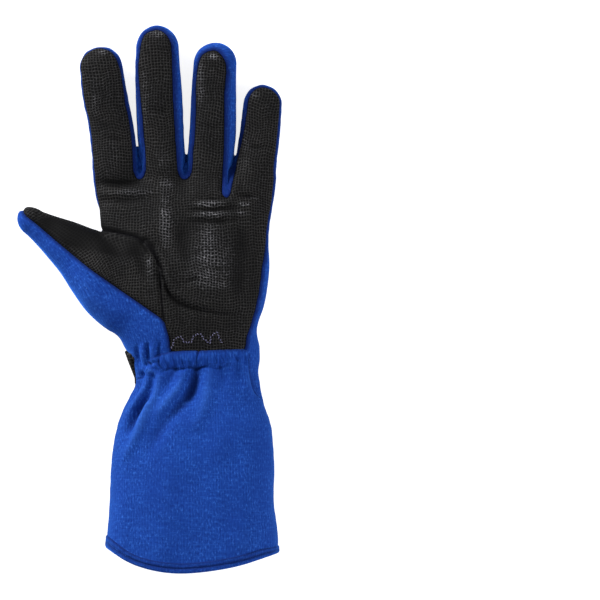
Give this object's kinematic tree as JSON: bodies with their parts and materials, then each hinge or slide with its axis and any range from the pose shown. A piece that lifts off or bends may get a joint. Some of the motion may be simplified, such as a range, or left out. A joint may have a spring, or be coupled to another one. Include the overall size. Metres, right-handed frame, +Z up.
{
  "type": "racing glove",
  "caption": "Left-hand racing glove with a long open gauntlet cuff, black grip palm, blue knit back, gathered wrist and wrist strap.",
  "frame": {"origin": "middle of the glove in plan, on the surface that its back rests on", "axes": "+Y from the cuff to the fingertips, +X to the little finger, +Z up out of the palm"},
  "size_m": [0.1584, 0.3282, 0.0552],
  "materials": {
    "knit": "matt heathered knit",
    "grip": "satin embossed grip fabric",
    "strap": "satin embossed grip fabric"
  },
  "bodies": {
    "root": {"back_panel": "knit", "palm_panel": "grip", "thumb_palm": "grip", "thumb_gusset": "knit", "fourchette_index_middle": "knit", "fourchette_middle_ring": "knit", "fourchette_ring_little": "knit", "gauntlet_front": "knit", "elastic_casing": "knit", "hem_binding": "knit", "wrist_strap": "strap"}
  },
  "joints": []
}
